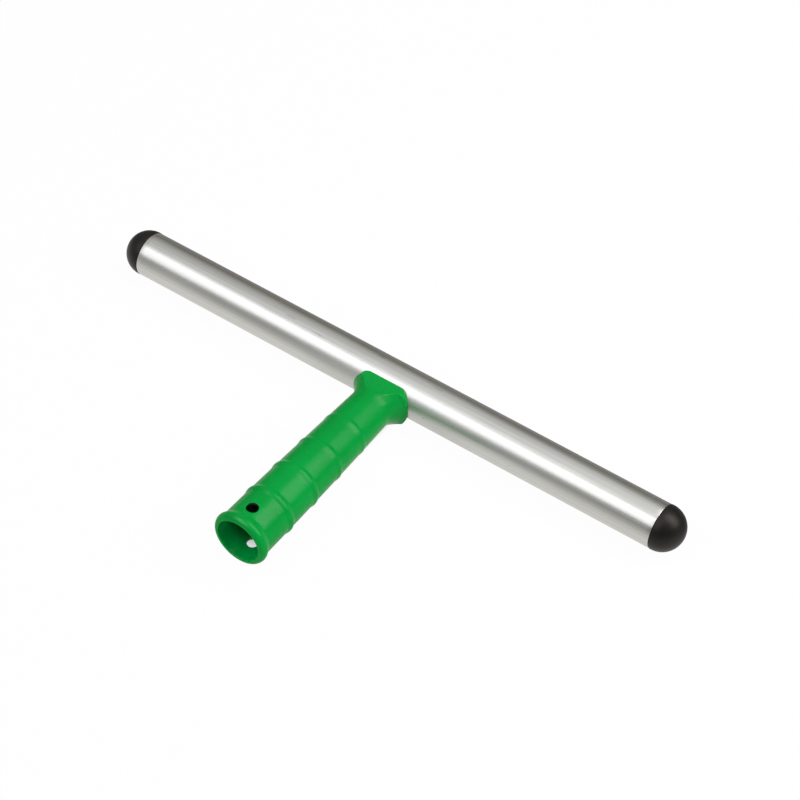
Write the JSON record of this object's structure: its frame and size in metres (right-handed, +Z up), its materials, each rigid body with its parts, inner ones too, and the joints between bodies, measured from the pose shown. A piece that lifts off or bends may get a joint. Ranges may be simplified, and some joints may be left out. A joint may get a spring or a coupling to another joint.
{
  "type": "window scrubber t-bar",
  "caption": "Fixed T-bar of a window scrubber: a round aluminium tube with domed black end caps, and a green handle with a flared saddle, grip rings and a pole socket.",
  "frame": {"origin": "where the axis of the pole socket crosses the axis of the lock hole", "axes": "+X along the tube to the right-hand end cap, -Y out of the pole socket's mouth, so the tube lies towards +Y, and +Z up through the lock hole"},
  "size_m": [0.355, 0.147, 0.0316],
  "materials": {
    "tube": "satin anodised, fine lengthwise streaks",
    "handle": "satin moulded, green",
    "end_cap": "fine satin, black",
    "fastener": "zinc plated"
  },
  "bodies": {
    "root": {"tube": "tube", "handle": "handle", "end_cap_left": "end_cap", "end_cap_right": "end_cap", "screw_left": "fastener", "screw_right": "fastener", "washer_left": "fastener", "washer_right": "fastener"}
  },
  "joints": []
}
